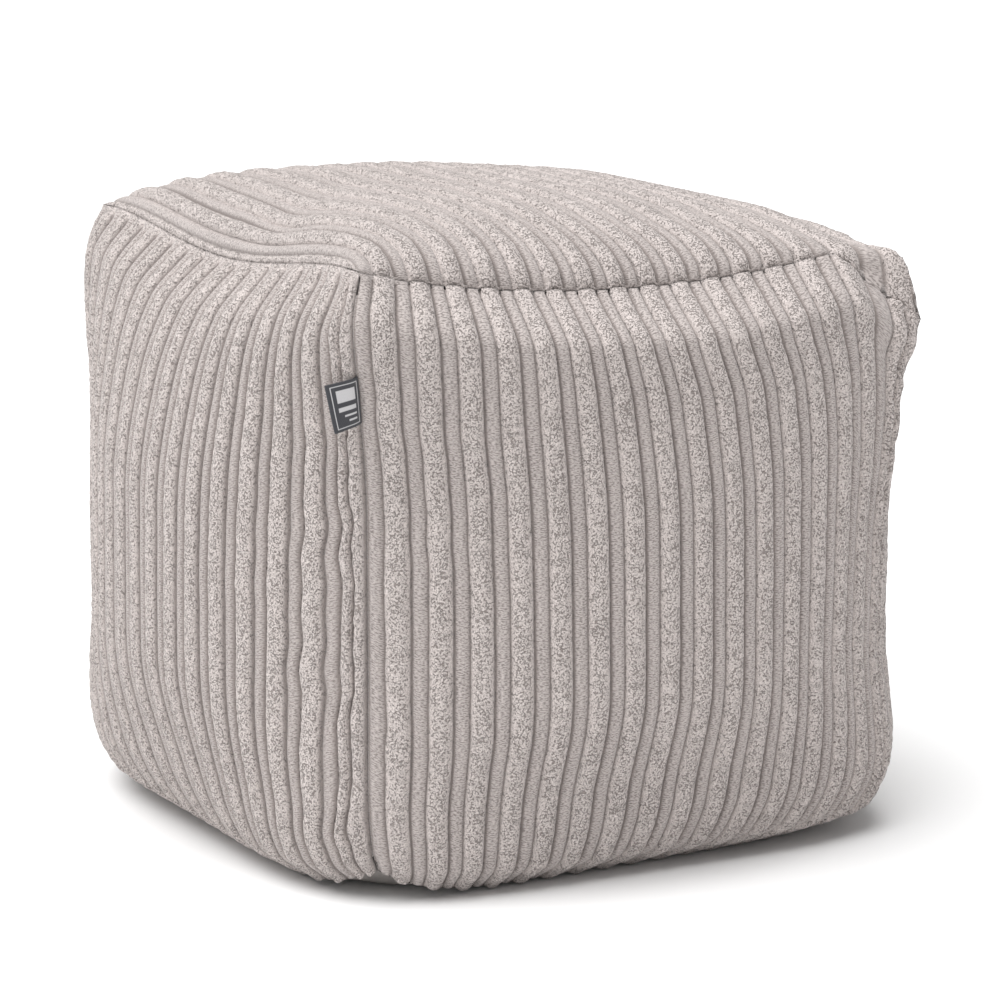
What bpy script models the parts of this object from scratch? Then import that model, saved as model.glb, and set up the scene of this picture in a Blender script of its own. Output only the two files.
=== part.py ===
"""A bean bag footstool in jumbo cord.

A cube of ribbed cord cloth, filled until every panel bulges between its seams, stands on a plain base
panel, and a small folded label is sewn into one upright seam. Metres, +Z up, with the origin on the floor
under the middle of the bag. The front panel faces -Y and the left one -X.
"""

from bisect import bisect_right
from collections import namedtuple
from math import cos, exp, hypot, inf, pi, radians, sin, sqrt

import bmesh
import bpy
from mathutils import Vector

# Driving dimensions
SPAN = 0.400  # between the upright seams, at the near top corner
HEIGHT = 0.442  # from the floor to the top corners
CROWN = 0.066  # the top panel's rise over its edges
CROWN_LEAN = 0.19  # the crown is this share higher towards the left seam, and lower towards the right
FRONT_SAG = 0.024  # how far the top seam dips along the front
BACK_SAG = 0.019  # along the back
LEFT_SAG = 0.016  # along the left
RIGHT_SAG = 0.015  # and along the right
REPEATS = 16  # of one thin rib and one fat rib, across each panel
CLEARANCE = 0.0003  # between pieces that touch

# The shape of the filled bag at each height. Widths are shares of SPAN.
Section = namedtuple("Section", "share near_corner corner front_bulge side_bulge squareness")
SECTIONS = (
    # share of the height, half-width at the near corner and at the others, bulge of front and back,
    # bulge of the sides, squareness
    Section(0.00, 0.449, 0.440, 0.035, 0.051, 6.0),
    Section(0.05, 0.475, 0.522, 0.058, 0.086, 5.0),
    Section(0.15, 0.487, 0.548, 0.072, 0.114, 3.3),
    Section(0.35, 0.484, 0.532, 0.149, 0.176, 2.1),
    Section(0.60, 0.483, 0.535, 0.138, 0.169, 2.0),
    Section(0.80, 0.508, 0.549, 0.109, 0.117, 2.0),
    Section(0.92, 0.528, 0.553, 0.093, 0.057, 2.4),
    Section(1.00, 0.500, 0.528, 0.006, -0.004, 3.0),
)
BULGE_ROUNDNESS = 0.92
SAG_ROUNDNESS = 0.9
LEFT_SAG_ROUNDNESS = 2.5  # the left seam dips in its middle and runs level near its ends
CROWN_ROUNDNESS = 0.53

# The front right corner has slumped into an ear: it stands out, and the top bulges over its dropped seam.
EAR_OUT = 0.019
EAR_SPREAD = 0.052
EAR_DROP = 0.060
EAR_REACH = 0.046
EAR_SHARPNESS = 1.4
DROP_SHARPNESS = 1.0
EAR_LIP = 0.014  # the width of that bulge

# Where the filling lifts the top or has left it: the middle, the rise there and its spread
Swell = namedtuple("Swell", "u w rise spread")
SWELLS = (
    Swell(-0.75, -0.82, 0.0045, 0.32),
    Swell(-0.85, 0.50, 0.001, 0.32),
    Swell(1.00, -0.90, -0.012, 0.22),
)
SWELL_EDGE = 0.012

# A soft valley runs into the top from the low point of its left seam.
VALLEY_DEPTH = 0.007
VALLEY_START = (-1.0, -0.30)
VALLEY_END = (-0.35, 0.30)
VALLEY_WIDTH = 0.16
VALLEY_FADE = 0.12

# Cord ribs, as a share of one repeat and the rise over the cloth
GROOVE = -0.0020
THIN_RIB = 0.0008
FAT_RIB = 0.0028
RIB_PROFILE = (
    (0.00, GROOVE),
    (0.20, THIN_RIB),
    (0.40, GROOVE),
    (0.54, FAT_RIB),
    (0.86, FAT_RIB),
)
RIB_END = 0.012  # a rib rounds off over this length at a seam
FOOT_END = 0.004  # the part of that length that is sewn in at the foot
SEAM_PINCH = 0.003
SEAM_WIDTH = 0.006

# Rows up a side panel, as shares of its height, and rows across the top panel
WALL_ROWS = (0.0, 0.025, 0.07, 0.15, 0.28, 0.44, 0.60, 0.75, 0.87, 0.945, 0.98, 1.0)
TOP_ROWS = 10
SIDE_INSET = 0.0035  # from the side seams to the nearest column of the top panel

# Base panel
BASE_THICKNESS = 0.0018
FOOT_LIFT = 0.004  # how far the corners of the cord's lower edge stand over its middle
NEAR_FOOT_LIFT = 0.020  # the same at the near corner
FOOT_SQUARENESS = 6  # the higher, the nearer to the corners the edge lies flat
BASE_EDGE = 0.975  # the base panel's edge, as a share of the cord's lower edge
BASE_FLAT = 0.86  # the part of the base that lies on the floor, in the same share
BASE_STEPS = 16  # along each side

# Label
LABEL_WIDTH = 0.025
LABEL_HEIGHT = 0.034
LABEL_TOP = 0.838  # share of the seam's height
LABEL_DROOP = 0.15  # its fall, as a share of its width
LABEL_CLOTH = 0.0005
LABEL_FOLD = 0.0007  # radius of the fold, to the middle of the cloth
LABEL_PRESSED = 0.6  # the layers' spacing at the seam, as a share of that at the fold
LABEL_ROOT = 0.0024  # from the bottom of the seam to the label's inner end
SEAM_TURN = 225.0  # degrees from +X, the way the label leaves the seam
LABEL_TOP_TURN = 176.0  # the way it points past its bend, at its top
LABEL_FOOT_TURN = 196.0  # and at its foot
LABEL_BEND = 0.011  # the length of that bend
LABEL_ROWS = 6
LABEL_STEPS = 9
FOLD_STEPS = 6

# The colour and roughness of each cloth
CORD = ((0.54, 0.50, 0.47), 0.95)
BASE_CLOTH = ((0.36, 0.33, 0.31), 0.9)
LABEL_TAPE = ((0.035, 0.036, 0.042), 0.75)

FRONT, RIGHT, BACK, LEFT = range(4)
PROBE = 0.004  # share of a panel that is stepped to find which way its cloth faces
MERGE = 1e-6  # panels that share a seam have its points within this
CREASE = radians(60)  # a sharper edge than this is shaded as one


def curve_through(points):
    """A smooth function through (place, value) pairs that doesn't overshoot between them."""
    places = [place for place, _ in points]
    values = [value for _, value in points]
    steps = [(v1 - v0) / (p1 - p0) for (p0, v0), (p1, v1) in zip(points, points[1:])]
    slopes = [steps[0]]
    for before, after in zip(steps, steps[1:]):
        turning = before * after <= 0
        slopes.append(0.0 if turning else 2 * before * after / (before + after))
    slopes.append(steps[-1])

    def value_at(place):
        i = min(max(bisect_right(places, place) - 1, 0), len(steps) - 1)
        width = places[i + 1] - places[i]
        t = (place - places[i]) / width
        return (
            values[i] * (1 + 2 * t) * (1 - t) ** 2
            + values[i + 1] * t * t * (3 - 2 * t)
            + slopes[i] * width * t * (1 - t) ** 2
            - slopes[i + 1] * width * t * t * (1 - t)
        )

    return value_at


near_corner = curve_through([(row.share, row.near_corner * SPAN) for row in SECTIONS])
corner = curve_through([(row.share, row.corner * SPAN) for row in SECTIONS])
front_bulge = curve_through([(row.share, row.front_bulge * SPAN) for row in SECTIONS])
side_bulge = curve_through([(row.share, row.side_bulge * SPAN) for row in SECTIONS])
squareness = curve_through([(row.share, row.squareness) for row in SECTIONS])


def rounded_off(distance):
    """A quarter round, from 0 at no distance to 1 at a distance of 1."""
    gone = max(0.0, 1 - distance)
    return sqrt(1 - gone * gone)


def ear_out(to_corner):
    """How far the slumped corner's cloth is pushed out at this distance from its tip."""
    push = EAR_OUT * max(0.0, 1 - to_corner / EAR_SPREAD) ** EAR_SHARPNESS
    return Vector((push, -push, 0))


def ear_drop(to_corner):
    """How far it is tucked down at this distance from its tip."""
    return EAR_DROP * max(0.0, 1 - to_corner / EAR_REACH) ** DROP_SHARPNESS


def rim_height(wall, s):
    """The height of the top's edge over a side panel, but for the ear."""
    sag = {FRONT: FRONT_SAG, RIGHT: RIGHT_SAG, BACK: BACK_SAG, LEFT: LEFT_SAG}[wall]
    return HEIGHT - sag * (1 - s * s) ** (LEFT_SAG_ROUNDNESS if wall == LEFT else SAG_ROUNDNESS)


def to_ear(wall, s, share):
    """How far a point of a side panel is from the slumped corner, where the front and right panels meet."""
    if wall not in (FRONT, RIGHT):
        return inf
    across = 1 - s if wall == FRONT else 1 + s
    return hypot(across * SPAN / 2, (1 - share) * HEIGHT)


def seam_height(wall, s):
    """The height of a side panel's top seam. s runs from -1 at the panel's left end to 1 at its right."""
    return rim_height(wall, s) - ear_drop(to_ear(wall, s, 1))


def foot_lift(wall, s):
    """How far the cord's lower edge lifts off the base, which it does at the corners."""
    near = s < 0 if wall == FRONT else s > 0 and wall == LEFT
    return (NEAR_FOOT_LIFT if near else FOOT_LIFT) * abs(s) ** FOOT_SQUARENESS


def wall_form(wall, s, share):
    """A point of a side panel's cloth under its ribs, but for the ear's push."""
    left = near_corner(share) if wall == FRONT else corner(share)
    right = near_corner(share) if wall == LEFT else corner(share)
    half = ((1 - s) * left + (1 + s) * right) / 2
    to_seam = min((1 - abs(s)) * half, (1 - share) * HEIGHT)
    pinch = SEAM_PINCH * exp(-((to_seam / SEAM_WIDTH) ** 2))
    bulge = front_bulge(share) if wall in (FRONT, BACK) else side_bulge(share)
    along = ((1 + s) * right - (1 - s) * left) / 2 - s * pinch
    out = half - pinch + bulge * (1 - abs(s) ** squareness(share)) ** BULGE_ROUNDNESS
    foot = BASE_THICKNESS + CLEARANCE + foot_lift(wall, s)
    height = foot + (seam_height(wall, s) - foot) * share
    turn = wall * pi / 2
    return Vector((along * cos(turn) + out * sin(turn), along * sin(turn) - out * cos(turn), height))


def wall_cloth(wall, s, share):
    """The same point with the ear's push."""
    return wall_form(wall, s, share) + ear_out(to_ear(wall, s, share))


def valley(u, w):
    """The depth of the soft valley in the top panel."""
    run = (VALLEY_END[0] - VALLEY_START[0], VALLEY_END[1] - VALLEY_START[1])
    length = hypot(*run)
    at = (u - VALLEY_START[0], w - VALLEY_START[1])
    along = (at[0] * run[0] + at[1] * run[1]) / length
    across = (at[0] * run[1] - at[1] * run[0]) / length
    fade_in = min(1.0, (1 + u) / VALLEY_FADE)
    fade_out = min(1.0, max(0.0, 1 - along / length))
    return VALLEY_DEPTH * fade_in * fade_out * exp(-((across / VALLEY_WIDTH) ** 2))


def swell(u, w):
    """How far the filling lifts the top panel, away from its seams."""
    return sum(each.rise * exp(-((u - each.u) ** 2 + (w - each.w) ** 2) / each.spread**2) for each in SWELLS)


def top_cloth(u, w):
    """A point of the top panel's cloth under its ribs: u runs from left to right and w from front to back."""
    front, back, left, right = (1 - w) / 2, (1 + w) / 2, (1 - u) / 2, (1 + u) / 2
    point = front * wall_form(FRONT, u, 1) + back * wall_form(BACK, -u, 1)
    point += left * wall_form(LEFT, -w, 1) + right * wall_form(RIGHT, w, 1)
    point -= front * (left * wall_form(FRONT, -1, 1) + right * wall_form(FRONT, 1, 1))
    point -= back * (left * wall_form(LEFT, -1, 1) + right * wall_form(BACK, -1, 1))
    rim = front * rim_height(FRONT, u) + back * rim_height(BACK, u)
    rim += left * rim_height(LEFT, w) + right * rim_height(RIGHT, w) - HEIGHT
    crown = CROWN * (1 - CROWN_LEAN * u) * ((1 - u * u) * (1 - w * w)) ** CROWN_ROUNDNESS
    to_corner = hypot(1 - u, 1 + w) * SPAN / 2
    to_seam = min(1 - abs(u), 1 - abs(w)) * SPAN / 2
    drop = ear_drop(to_corner) * (1 - rounded_off(to_seam / EAR_LIP))
    point.z = rim + crown + swell(u, w) * rounded_off(to_seam / SWELL_EDGE) - valley(u, w) - drop
    return point + ear_out(to_corner)


def raised(cloth, across, up, rise):
    """A point this far out from the cloth, square to it, where cloth(across, up) gives the cloth."""
    a0, a1 = max(-1.0, across - PROBE), min(1.0, across + PROBE)
    lowest = -1.0 if cloth is top_cloth else 0.0
    u0, u1 = max(lowest, up - PROBE), min(1.0, up + PROBE)
    run_across = cloth(a1, up) - cloth(a0, up)
    run_up = cloth(across, u1) - cloth(across, u0)
    return cloth(across, up) + rise * run_across.cross(run_up).normalized()


def columns():
    """The places across a panel, from -1 to 1, where its ribs turn, each with the rise there."""
    places = [
        (2 * (repeat + share) / REPEATS - 1, rise) for repeat in range(REPEATS) for share, rise in RIB_PROFILE
    ]
    places[0] = (-1.0, 0.0)
    return places + [(1.0, 0.0)]


def add_panel(bm, rows, place):
    """Adds a grid of the ribs' columns by this many rows, each point where place(column, row) says."""
    last = len(columns()) - 1
    made = bmesh.ops.create_grid(bm, x_segments=last, y_segments=rows - 1, size=1)["verts"]
    for vert in made:
        column = round((vert.co.x + 1) / 2 * last)
        row = round((vert.co.y + 1) / 2 * (rows - 1))
        vert.co = place(column, row)


def add_wall(bm, wall):
    """Adds one side panel, with its ribs upright."""
    ribs = columns()

    def cloth(s, share):
        return wall_cloth(wall, s, share)

    def place(column, row):
        s, rise = ribs[column]
        share = WALL_ROWS[row]
        end = rounded_off((1 - share) * HEIGHT / RIB_END) * rounded_off((FOOT_END + share * HEIGHT) / RIB_END)
        return raised(cloth, s, share, rise * end)

    add_panel(bm, len(WALL_ROWS), place)


def add_top(bm):
    """Adds the top panel, its ribs from front to back, and its two side edges a little inside their seams."""
    ribs = columns()
    edge = 1 - 2 * SIDE_INSET / SPAN

    def place(column, row):
        u, rise = ribs[column]
        w = -cos(pi * row / TOP_ROWS)
        if column in (0, len(ribs) - 1):
            u = max(-edge, min(edge, u))
            w = max(-edge, min(edge, w))
        return raised(top_cloth, u, w, rise * rounded_off((1 - abs(w)) * SPAN / 2 / RIB_END))

    add_panel(bm, TOP_ROWS + 1, place)


def foot_loop(bm, scale, height_over):
    """Adds a closed ring of edges around the foot, at this share of the cord's lower edge."""
    verts = []
    lift = min(1.0, max(0.0, (scale - BASE_FLAT) / (BASE_EDGE - BASE_FLAT)))
    for wall in range(4):
        for step in range(BASE_STEPS):
            s = 2 * step / BASE_STEPS - 1
            edge = wall_cloth(wall, s, 0)
            height = height_over + lift * foot_lift(wall, s)
            verts.append(bm.verts.new((edge.x * scale, edge.y * scale, height)))
    return [bm.edges.new(pair) for pair in zip(verts, verts[1:] + verts[:1])]


def fill_foot(bm, height_over):
    """Adds the foot's surface inside the base panel's edge, and gives the edges around it."""
    rim = foot_loop(bm, BASE_EDGE, height_over)
    flat = foot_loop(bm, BASE_FLAT, height_over)
    bmesh.ops.bridge_loops(bm, edges=rim + flat)
    bmesh.ops.contextual_create(bm, geom=flat)
    return rim


def open_edges(bm):
    return [edge for edge in bm.edges if edge.is_boundary]


def on_top(edge):
    return edge.verts[0].co.z > HEIGHT / 2


def object_from(bm, name, cloth):
    """Makes an object of this mesh, with a material of its own in this cloth's colour and roughness."""
    colour, roughness = cloth
    bmesh.ops.recalc_face_normals(bm, faces=bm.faces)
    mesh = bpy.data.meshes.new(name)
    bm.to_mesh(mesh)
    bm.free()
    mesh.shade_smooth()
    mesh.set_sharp_from_angle(angle=CREASE)
    material = bpy.data.materials.new(name)
    material.use_nodes = True
    shader = material.node_tree.nodes["Principled BSDF"]
    shader.inputs["Base Color"].default_value = (*colour, 1.0)
    shader.inputs["Roughness"].default_value = roughness
    shader.inputs["Metallic"].default_value = 0.0
    mesh.materials.append(material)
    made = bpy.data.objects.new(name, mesh)
    footstool.objects.link(made)
    return made


def cord_cover():
    """The filled bag: four side panels and a top of cord, with a plain underside on the base panel."""
    bm = bmesh.new()
    for wall in (FRONT, RIGHT, BACK, LEFT):
        add_wall(bm, wall)
    add_top(bm)
    bmesh.ops.remove_doubles(bm, verts=bm.verts, dist=MERGE)
    for side in (-1, 1):
        seam = [edge for edge in open_edges(bm) if on_top(edge) and side * edge.verts[0].co.x > 0]
        bmesh.ops.triangle_fill(bm, edges=seam, use_beauty=True, normal=(0, 0, 1))
    lower_edge = open_edges(bm)
    rim = fill_foot(bm, BASE_THICKNESS + CLEARANCE)
    bmesh.ops.triangle_fill(bm, edges=lower_edge + rim, use_beauty=True, normal=(0, 0, -1))
    return object_from(bm, "cord_cover", CORD)


def base_panel():
    """The plain cloth under the bag: flat on the floor, and turned up a little at its corners."""
    bm = bmesh.new()
    fill_foot(bm, 0.0)
    lower = bm.faces[:]
    upper = bmesh.ops.extrude_face_region(bm, geom=lower)["geom"]
    moved = [part for part in upper if isinstance(part, bmesh.types.BMVert)]
    bmesh.ops.translate(bm, verts=moved, vec=(0, 0, BASE_THICKNESS))
    return object_from(bm, "base_panel", BASE_CLOTH)


def label_course(down):
    """The middle line of the label at a share of the way down it: points with the heading at each."""
    share = LABEL_TOP - down * LABEL_HEIGHT / HEIGHT
    final = LABEL_TOP_TURN + (LABEL_FOOT_TURN - LABEL_TOP_TURN) * down
    point = wall_cloth(FRONT, -1, share)
    step = LABEL_WIDTH / LABEL_STEPS
    course = []
    for i in range(LABEL_STEPS + 1):
        bend = max(0.0, 1 - i * step / LABEL_BEND)
        heading = radians(final + (SEAM_TURN - final) * bend)
        out = Vector((cos(heading), sin(heading), -LABEL_DROOP))
        point = point + out * (step if i else LABEL_ROOT)
        course.append((point, heading))
    return course


def side_label():
    """The folded tag in the near upright seam. Its two layers run out from the seam and meet in a fold."""
    bm = bmesh.new()
    rows = []
    for row in range(LABEL_ROWS + 1):
        course = label_course(row / LABEL_ROWS)
        near, far = [], []
        for i, (point, heading) in enumerate(course):
            side = Vector((-sin(heading), cos(heading), 0))
            gap = LABEL_FOLD * (LABEL_PRESSED + (1 - LABEL_PRESSED) * i / LABEL_STEPS)
            near.append(point - side * gap)
            far.append(point + side * gap)
        end, heading = course[-1]
        fold = []
        for step in range(1, FOLD_STEPS):
            way = heading - pi / 2 + pi * step / FOLD_STEPS
            fold.append(end + LABEL_FOLD * Vector((cos(way), sin(way), 0)))
        rows.append([bm.verts.new(point) for point in near + fold + far[::-1]])
    for upper, lower in zip(rows, rows[1:]):
        for i in range(len(upper) - 1):
            bm.faces.new((upper[i], lower[i], lower[i + 1], upper[i + 1]))
    label = object_from(bm, "side_label", LABEL_TAPE)
    cloth = label.modifiers.new("cloth", "SOLIDIFY")
    cloth.thickness = LABEL_CLOTH
    cloth.offset = 0
    return label


for leftover in list(bpy.data.objects):
    bpy.data.objects.remove(leftover)
footstool = bpy.data.collections.new("bean_bag_footstool")
bpy.context.scene.collection.children.link(footstool)
cord_cover()
base_panel()
side_label()
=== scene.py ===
from collections import namedtuple
from math import cos, pi, radians, sin

import bpy
import numpy as np
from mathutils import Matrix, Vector


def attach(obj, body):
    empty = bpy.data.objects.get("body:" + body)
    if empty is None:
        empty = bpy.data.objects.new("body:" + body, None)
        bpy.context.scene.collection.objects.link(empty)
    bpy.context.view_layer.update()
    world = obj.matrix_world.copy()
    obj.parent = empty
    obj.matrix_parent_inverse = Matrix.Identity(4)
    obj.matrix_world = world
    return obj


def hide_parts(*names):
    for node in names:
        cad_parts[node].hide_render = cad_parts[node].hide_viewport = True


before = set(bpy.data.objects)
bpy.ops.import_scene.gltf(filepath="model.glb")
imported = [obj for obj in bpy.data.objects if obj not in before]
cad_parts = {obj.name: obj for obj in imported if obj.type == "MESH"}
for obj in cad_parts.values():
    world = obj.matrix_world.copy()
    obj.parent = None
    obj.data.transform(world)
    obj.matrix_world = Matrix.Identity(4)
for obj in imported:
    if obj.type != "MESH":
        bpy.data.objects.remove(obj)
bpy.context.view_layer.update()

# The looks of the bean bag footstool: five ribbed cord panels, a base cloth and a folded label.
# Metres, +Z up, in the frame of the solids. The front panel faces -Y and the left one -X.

# Driving dimensions, the same as the solids'
SPAN = 0.400
HEIGHT = 0.442
CROWN = 0.066
CROWN_LEAN = 0.19
FRONT_SAG = 0.024
BACK_SAG = 0.019
LEFT_SAG = 0.016
RIGHT_SAG = 0.015
REPEATS = 16
BASE_TOP = 0.0021

Section = namedtuple("Section", "share near_corner corner front_bulge side_bulge squareness")
SECTIONS = (
    # share of the height, half-width at the near corner and at the others, bulge of front and back,
    # bulge of the sides, squareness
    Section(0.00, 0.449, 0.440, 0.035, 0.051, 6.0),
    Section(0.05, 0.475, 0.522, 0.058, 0.086, 5.0),
    Section(0.15, 0.487, 0.548, 0.072, 0.114, 3.3),
    Section(0.35, 0.484, 0.532, 0.149, 0.176, 2.1),
    Section(0.60, 0.483, 0.535, 0.138, 0.169, 2.0),
    Section(0.80, 0.508, 0.549, 0.109, 0.117, 2.0),
    Section(0.92, 0.528, 0.553, 0.093, 0.057, 2.4),
    Section(1.00, 0.500, 0.528, 0.006, -0.004, 3.0),
)
BULGE_ROUNDNESS = 0.92
SAG_ROUNDNESS = 0.9
LEFT_SAG_ROUNDNESS = 2.5
CROWN_ROUNDNESS = 0.53

EAR_OUT = 0.019
EAR_SPREAD = 0.052
EAR_DROP = 0.060
EAR_REACH = 0.046
EAR_SHARPNESS = 1.4
EAR_LIP = 0.014  # the top bulges over the dropped seam in this width

Swell = namedtuple("Swell", "u w rise spread")
SWELLS = (
    # where the filling lifts or leaves the top: its middle, its height in metres, its spread
    Swell(-0.75, -0.82, 0.0045, 0.32),
    Swell(-0.85, 0.50, 0.001, 0.32),
    Swell(1.00, -0.90, -0.012, 0.22),
)
SWELL_EDGE = 0.012  # they fade out this near a seam

VALLEY_DEPTH = 0.007
VALLEY_START = (-1.0, -0.30)
VALLEY_END = (-0.35, 0.30)
VALLEY_WIDTH = 0.16
VALLEY_FADE = 0.12

FOOT_LIFT = 0.004
NEAR_FOOT_LIFT = 0.020
FOOT_SQUARENESS = 6

# The cord's cross section: shares of one repeat, and rises over the cloth
THIN_FROM, THIN_TO = 0.012, 0.350
FAT_FROM, FAT_TO = 0.395, 0.950
GROOVE_AT = 0.981
SEAM_THIN_FROM = 0.055  # of the thin rib beside an upright seam
DOUBLED_FROM, DOUBLED_TO = 0.655, 0.690  # the crease in the fat rib beside an upright seam
DOUBLED_RISE = 0.0038
DOUBLED_BEND = 0.020  # how far its two strands wander, in repeats
DOUBLED_BEND_SIZE = 0.0075
DOUBLED_BEND_START = 0.2  # from its left edge
DOUBLED_WRINKLE = 0.2  # and how much their height changes
DOUBLED_WRINKLE_SIZE = 0.010
STRAND = 0.28  # the part of one more fat rib that the top panel has along its left seam, in repeats
STRAND_RISE = 0.0012
STRAND_START = 0.030  # it rises from the corners over this length
STRAND_TAPER = 0.20  # and tapers away towards the front seam over this share of the half length
STRAND_GROOVE = 0.6  # the groove beside it reaches this far into it
STRAND_ACROSS = 0.6  # the place across a fat rib whose look it has
STRAND_TUFTS = 0.3  # its tufts rise from its edges over this share of it
GROOVE = -0.0019  # between a fat rib's right side and the next thin rib
CREASE = -0.0016  # on a fat rib's left side, where it meets a thin rib
TOP_CREASE = -0.0014  # the same where the top panel's pull opens it
GROOVE_SPREAD = 0.3  # from a groove's middle to where the creases' depth begins, in repeats
BESIDE_GROOVE = 0.2  # nearer than this is the groove, farther is the crease
SLACK_GROOVE = 0.35  # how deep both still are at the top's left seam
SLACK_GROOVE_FROM, SLACK_GROOVE_REACH = 0.05, 0.25  # in repeats from that seam
THIN_RIB = 0.0012
FAT_RIB = 0.0034
THIN_FLATNESS = 2.2
FAT_FLATNESS = 2.1
RIB_END = 0.0018  # a rib rounds off over this length at a seam across it
SOFT_END = 0.008  # and over this length at the top of the two side walls
SEAM_FILL = 0.0024  # how high the fat ribs' ends stand where they meet in the top's front seam
RIB_LOBE = 0.0018  # its corners there end this much sooner
GROOVE_END = 0.003
SEAM_PINCH = 0.0003  # how deep the seams across the ribs draw the cloth in
SEAM_DEEPENS = 0.030  # an upright seam is as deep as a groove this far from its ends
GROOVE_REACH = 0.42  # how far up its sides a groove has painted shade, as a share of the fat ribs' height
CREASE_REACH = 0.34
# How much further the painted shade reaches on each panel
PANEL_SHADE_REACH = {"front": 0.0, "right": 0.36, "back": 0.0, "left": 0.42, "top": 0.17}
LIT_CREASE = 0.35  # what is left of the creases' painted shade at the top's left seam, where the light falls on them
LIT_CREASE_ENDS = -0.8  # and where their painted shade begins to grow again, from left to right
SEAM_LEAN = 0.009  # this near a seam, the ribs of both its panels stand the same way
LEAN_FROM, LEAN_REACH = 0.02, 0.04  # but not at the foot: from here, over this share of the height
PEBBLE_SIZE = 0.0034  # of the tufts on the fat ribs
PEBBLE_RISE = 0.00045
PEBBLE_START = 0.002  # they are full where the rib is this high

# Unevenness of the filled bag
SWAY = 0.0005  # how far the ribs wander sideways
SEAM_SWAY = 0.0032  # and how far beside an upright seam
SWAY_REACH = 0.055
# Each panel's share of it
SLACK_SWAY = {"front": 0.5, "right": 1.4, "back": 0.5, "left": 1.4, "top": 0.0}
WIDE_SWAY = (0.07, 0.055)  # the sizes of the wandering across and along the ribs
FINE_SWAY = (0.04, 0.020)
FINE_SWAY_SHARE = 0.6
SWAY_EDGE = 0.012  # it fades out this near a seam
# The slumped corner draws the ribs to the left: from the first place on, in full at the second,
# and less again past the third.
DRIFT_FROM, DRIFT_FULL, DRIFT_ENDS = -0.65, 0.50, 0.68
TOP_DRIFT = 0.0165  # how far on the top, past its front seam
TOP_DRIFT_FROM, TOP_DRIFT_FULL = -0.50, 0.10
TOP_DRIFT_REACH = 0.35  # it takes over from the front's in this share of the half length
TOP_DRIFT_FADES = -0.3  # and fades from here to the back
PUCKER = 0.0013
PUCKER_SIZE = (0.05, 0.016)  # across and along an upright seam
PUCKER_REACH = 0.030
PUCKER_START = 0.006  # from an upright seam, and from the seams across the ribs
PUCKER_END = 0.010
LUMP = 0.0014
LUMP_SIZE = 0.075
LUMP_EDGE = 0.03  # they fade out this near a seam
EAR_PITS = ((0.896, -0.972), (0.985, -0.965))  # u and w of the pits over the slumped corner
PIT_DEPTH = 0.0035
PIT_SIZE = 0.0065
PIT_EDGE = 0.002  # and the pits this near

# How finely the panels are meshed
THIN_STEPS = 7  # grid lines across a thin rib, a fat one and the top's strand
FAT_STEPS = 11
STRAND_STEPS = 6
GATHERED = 0.09  # how much closer they stand beside the grooves
WALL_STEPS = 300  # grid lines along the ribs of a side panel and of the top
TOP_STEPS = 262
LIP_STEPS = 32  # and on the top over its ribs' front ends
LINING_STEP = 8  # the lining has a point at every so many of the outer ones
LINING_DEPTH = 0.005
LINING_SHARE = 0.97
MIDDLE = np.array((0, 0, HEIGHT / 2))

FRONT, RIGHT, BACK, LEFT = range(4)
WALL_NAMES = {FRONT: "front", RIGHT: "right", BACK: "back", LEFT: "left"}


# --- Smooth functions and noise ---


def curve_through(points):
    """A smooth function, on arrays, through (place, value) pairs that it doesn't overshoot."""
    places, values = np.array(points).T
    widths = np.diff(places)
    steps = np.diff(values) / widths
    slopes = np.concatenate([steps[:1], np.zeros(len(steps) - 1), steps[-1:]])
    before, after = steps[:-1], steps[1:]
    rising = before * after > 0
    slopes[1:-1][rising] = (2 * before * after)[rising] / (before + after)[rising]

    def value_at(place):
        i = np.clip(np.searchsorted(places, place, "right") - 1, 0, len(steps) - 1)
        t = (place - places[i]) / widths[i]
        return (
            values[i] * (1 + 2 * t) * (1 - t) ** 2
            + values[i + 1] * t * t * (3 - 2 * t)
            + slopes[i] * widths[i] * t * (1 - t) ** 2
            - slopes[i + 1] * widths[i] * t * t * (1 - t)
        )

    return value_at


# How far the front's ribs are drawn to the left, at shares of its height
DRIFT = curve_through(
    (
        (0.0, 0.0),
        (0.12, -0.006),
        (0.42, -0.006),
        (0.62, -0.006),
        (0.81, 0.001),
        (0.94, 0.015),
        (1.0, 0.009),
    )
)


def section_curve(field, unit=SPAN):
    return curve_through([(row.share, getattr(row, field) * unit) for row in SECTIONS])


near_corner = section_curve("near_corner")
corner = section_curve("corner")
front_bulge = section_curve("front_bulge")
side_bulge = section_curve("side_bulge")
squareness = section_curve("squareness", 1)

NOISE_SIZE = 32
noise_table = np.random.default_rng(7).uniform(-1, 1, (NOISE_SIZE,) * 3)


def noise(x, y, z=0.0):
    """Smooth noise from -1 to 1 that changes over about one unit."""
    place = np.stack(np.broadcast_arrays(x, y, z))
    cell = np.floor(place).astype(int)
    t = place - cell
    t = t * t * (3 - 2 * t)
    total = 0.0
    for corner_of_cell in np.ndindex(2, 2, 2):
        weight = 1.0
        for axis, side in enumerate(corner_of_cell):
            weight = weight * (t[axis] if side else 1 - t[axis])
        i, j, k = ((cell[axis] + side) % NOISE_SIZE for axis, side in enumerate(corner_of_cell))
        total = total + weight * noise_table[i, j, k]
    return total


def smooth_step(x):
    x = np.clip(x, 0.0, 1.0)
    return x * x * (3 - 2 * x)


def rounded_off(distance):
    """A quarter round from 0 at no distance to 1 at one."""
    gone = np.clip(1 - distance, 0, 1)
    return np.sqrt(1 - gone * gone)


# --- The shape of the filled bag ---


def ear_out(to_corner):
    """How far the slumped corner's cloth is pushed out at this distance from its tip."""
    push = EAR_OUT * np.maximum(0.0, 1 - to_corner / EAR_SPREAD) ** EAR_SHARPNESS
    return np.stack([push, -push, 0 * push], -1)


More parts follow.
